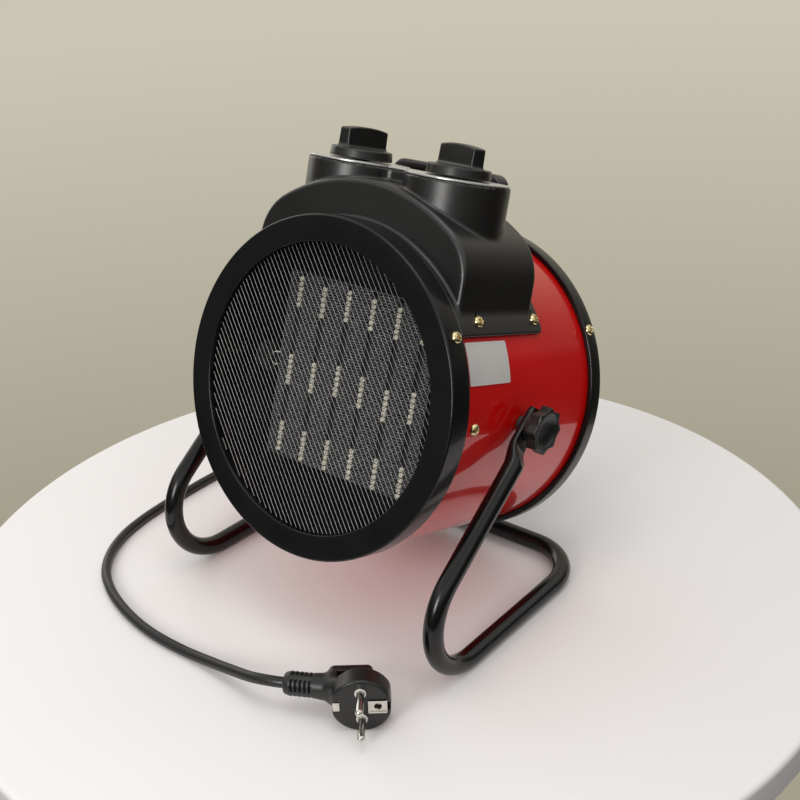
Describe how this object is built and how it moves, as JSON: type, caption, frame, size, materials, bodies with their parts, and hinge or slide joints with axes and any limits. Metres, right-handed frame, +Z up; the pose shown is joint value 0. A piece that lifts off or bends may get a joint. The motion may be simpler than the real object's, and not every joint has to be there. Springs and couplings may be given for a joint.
{
  "type": "fan heater",
  "caption": "Round fan heater: a red drum with black end rings, mesh grille, ceramic heating block and knob housing, tilting in a bent tube stand, with cord and plug.",
  "frame": {"origin": "on the table, below the middle of the barrel and its rings at rest, halfway between the stand's two sides", "axes": "+Z up, -Y is the side that the hot air leaves, +X to the right seen from the front; the barrel rests tilted back by 18 degrees"},
  "size_m": [0.3273, 0.4399, 0.3076],
  "materials": {
    "red_paint": "glossy enamel",
    "black_paint": "fine-textured satin powder coat",
    "tube_paint": "semi-gloss powder coat",
    "plastic": "fine-textured satin",
    "knob_plastic": "satin",
    "mesh": "satin black",
    "silver": "brushed satin",
    "steel": "satin",
    "zinc_yellow": "yellow zinc plating",
    "fins": "bare sheet",
    "ceramic": "unglazed ceramic",
    "heat_plastic": "matte",
    "rubber": "matte",
    "brass": "nickel plated"
  },
  "bodies": {
    "stand": {"stand_tube": "tube_paint", "cord_lead": "rubber", "cord_coil": "rubber", "cord_tail": "rubber", "plug_body": "rubber", "plug_earth_strap": "brass", "plug_pin_upper": "brass", "plug_pin_lower": "brass"},
    "barrel": {"drum_shell": "red_paint", "front_ring": "black_paint", "front_ring_screw_1": "zinc_yellow", "front_ring_screw_2": "zinc_yellow", "front_ring_screw_3": "zinc_yellow", "rear_ring": "black_paint", "rear_ring_screw_1": "zinc_yellow", "rear_ring_screw_2": "zinc_yellow", "rear_ring_screw_3": "zinc_yellow", "front_grille": "mesh", "rear_grille": "mesh", "block_plate": "black_paint", "plate_screw_1": "zinc_yellow", "plate_screw_2": "zinc_yellow", "fin_block": "fins", "ceramic_bar_1": "ceramic", "ceramic_bar_2": "ceramic", "ceramic_bar_3": "ceramic", "ceramic_bar_4": "ceramic", "ceramic_bar_5": "ceramic", "ceramic_bar_6": "ceramic", "block_bracket_top": "steel", "block_bracket_bottom": "steel", "thermal_cutout": "heat_plastic", "motor_body": "steel", "motor_bracket": "steel", "spacer_left": "heat_plastic", "spacer_right": "heat_plastic", "anchor_nut_left": "steel", "anchor_nut_right": "steel", "control_housing": "plastic", "housing_screw_1": "zinc_yellow", "housing_screw_2": "zinc_yellow", "housing_screw_3": "zinc_yellow", "housing_screw_4": "zinc_yellow", "face_plate": "silver", "thermostat_body": "heat_plastic", "selector_body": "heat_plastic", "terminal_block": "ceramic", "carry_handle": "plastic", "rating_label": "silver", "strain_relief": "rubber"},
    "fan": {"fan_rotor": "heat_plastic", "motor_shaft": "steel"},
    "thermostat": {"thermostat_knob": "knob_plastic", "thermostat_shaft": "steel"},
    "selector": {"selector_knob": "knob_plastic", "selector_shaft": "steel"},
    "clamp_left": {"star_knob_left": "knob_plastic", "clamp_stud_left": "steel"},
    "clamp_right": {"star_knob_right": "knob_plastic", "clamp_stud_right": "steel"}
  },
  "joints": [
    {"name": "tilt", "type": "hinge", "parent": "stand", "child": "barrel", "pos_m": [0, -0.00594, 0.142], "axis": [1, 0, 0], "range_deg": [-8, 38], "deforming": ["cord_lead"]},
    {"name": "fan_spin", "type": "hinge", "parent": "barrel", "child": "fan", "pos_m": [0, -0.00594, 0.142], "axis": [0, 0.9511, -0.309], "continuous": true},
    {"name": "thermostat_turn", "type": "hinge", "parent": "barrel", "child": "thermostat", "pos_m": [-0.0405, 0.02081, 0.28224], "axis": [0, 0.309, 0.9511], "range_deg": [-135, 135]},
    {"name": "selector_turn", "type": "hinge", "parent": "barrel", "child": "selector", "pos_m": [0.0405, 0.02081, 0.28224], "axis": [0, 0.309, 0.9511], "range_deg": [-90, 90]},
    {"name": "clamp_left_turn", "type": "hinge", "parent": "barrel", "child": "clamp_left", "pos_m": [-0.1175, -0.00594, 0.142], "axis": [-1, 0, 0], "range_deg": [-360, 30]},
    {"name": "clamp_right_turn", "type": "hinge", "parent": "barrel", "child": "clamp_right", "pos_m": [0.1175, -0.00594, 0.142], "axis": [1, 0, 0], "range_deg": [-360, 30]}
  ]
}
